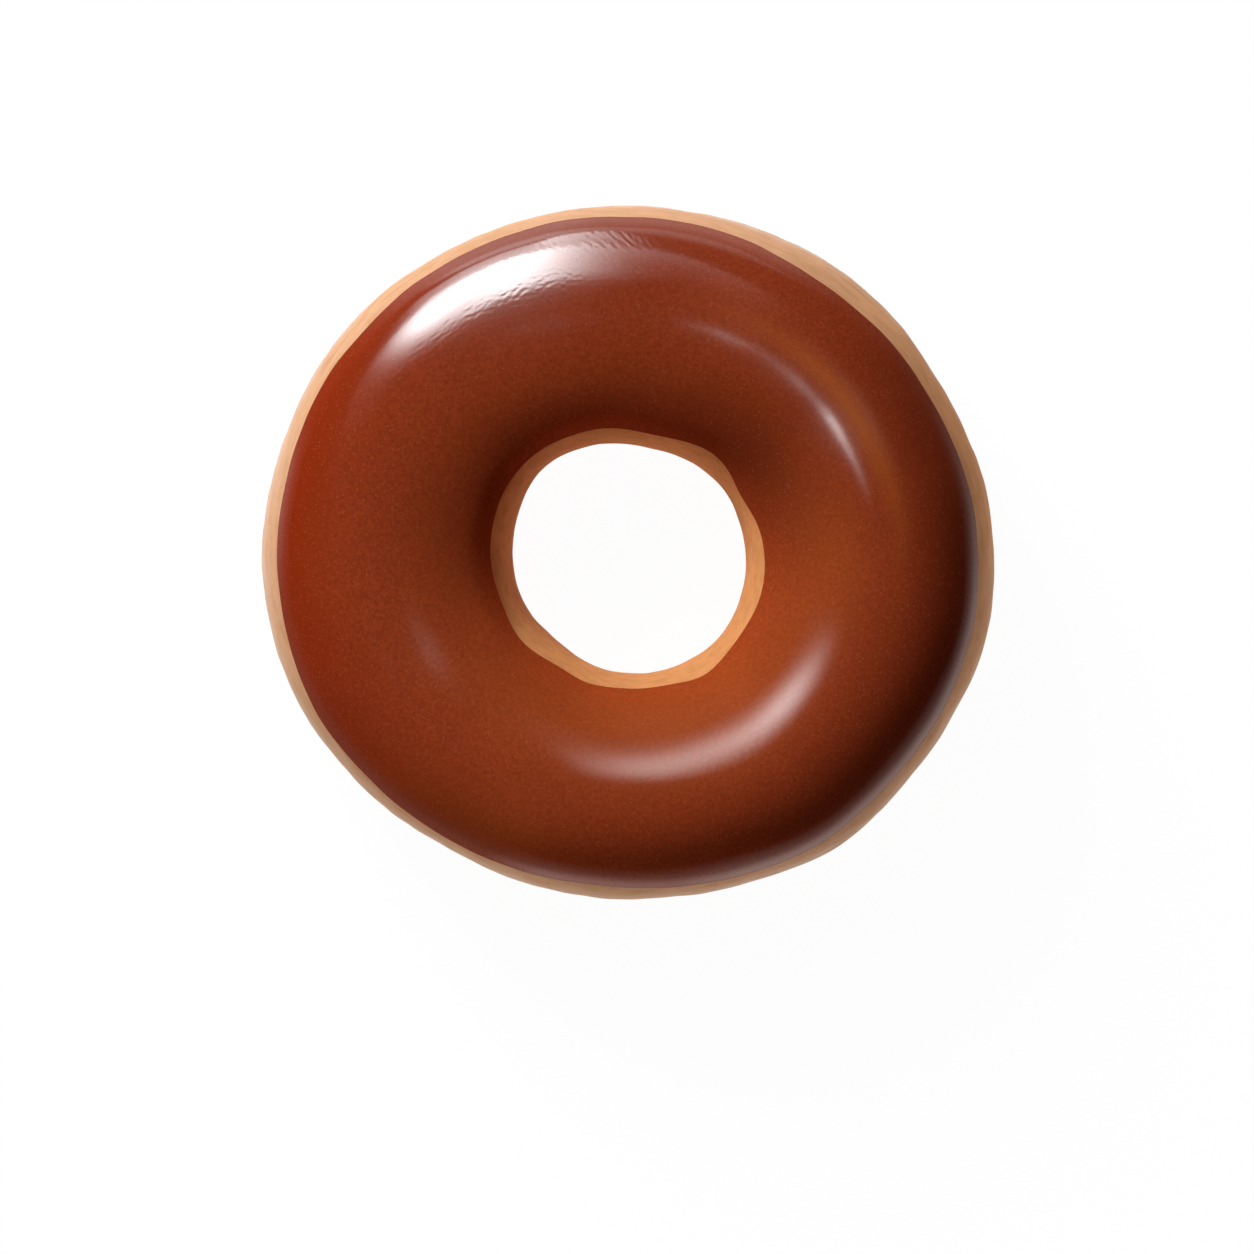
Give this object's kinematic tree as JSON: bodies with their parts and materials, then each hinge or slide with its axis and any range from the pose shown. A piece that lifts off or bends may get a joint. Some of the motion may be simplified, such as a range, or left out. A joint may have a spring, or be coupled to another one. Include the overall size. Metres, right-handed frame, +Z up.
{
  "type": "ring doughnut",
  "caption": "Fried dough ring with a round hole through its middle, a flat foot to rest on and a smooth glossy coat of chocolate icing over its top.",
  "frame": {"origin": "on the surface that the ring rests on, under the middle of its outline seen from above", "axes": "+Z up out of the iced top, +X along the ring's longest width, +Y towards the top of the picture"},
  "size_m": [0.0898, 0.085, 0.0306],
  "materials": {
    "dough": "soft matte fried crust, pale peach near the icing and golden brown below",
    "icing": "glossy set chocolate icing, warm reddish brown"
  },
  "bodies": {
    "root": {"dough_ring": "dough", "chocolate_icing": "icing"}
  },
  "joints": []
}
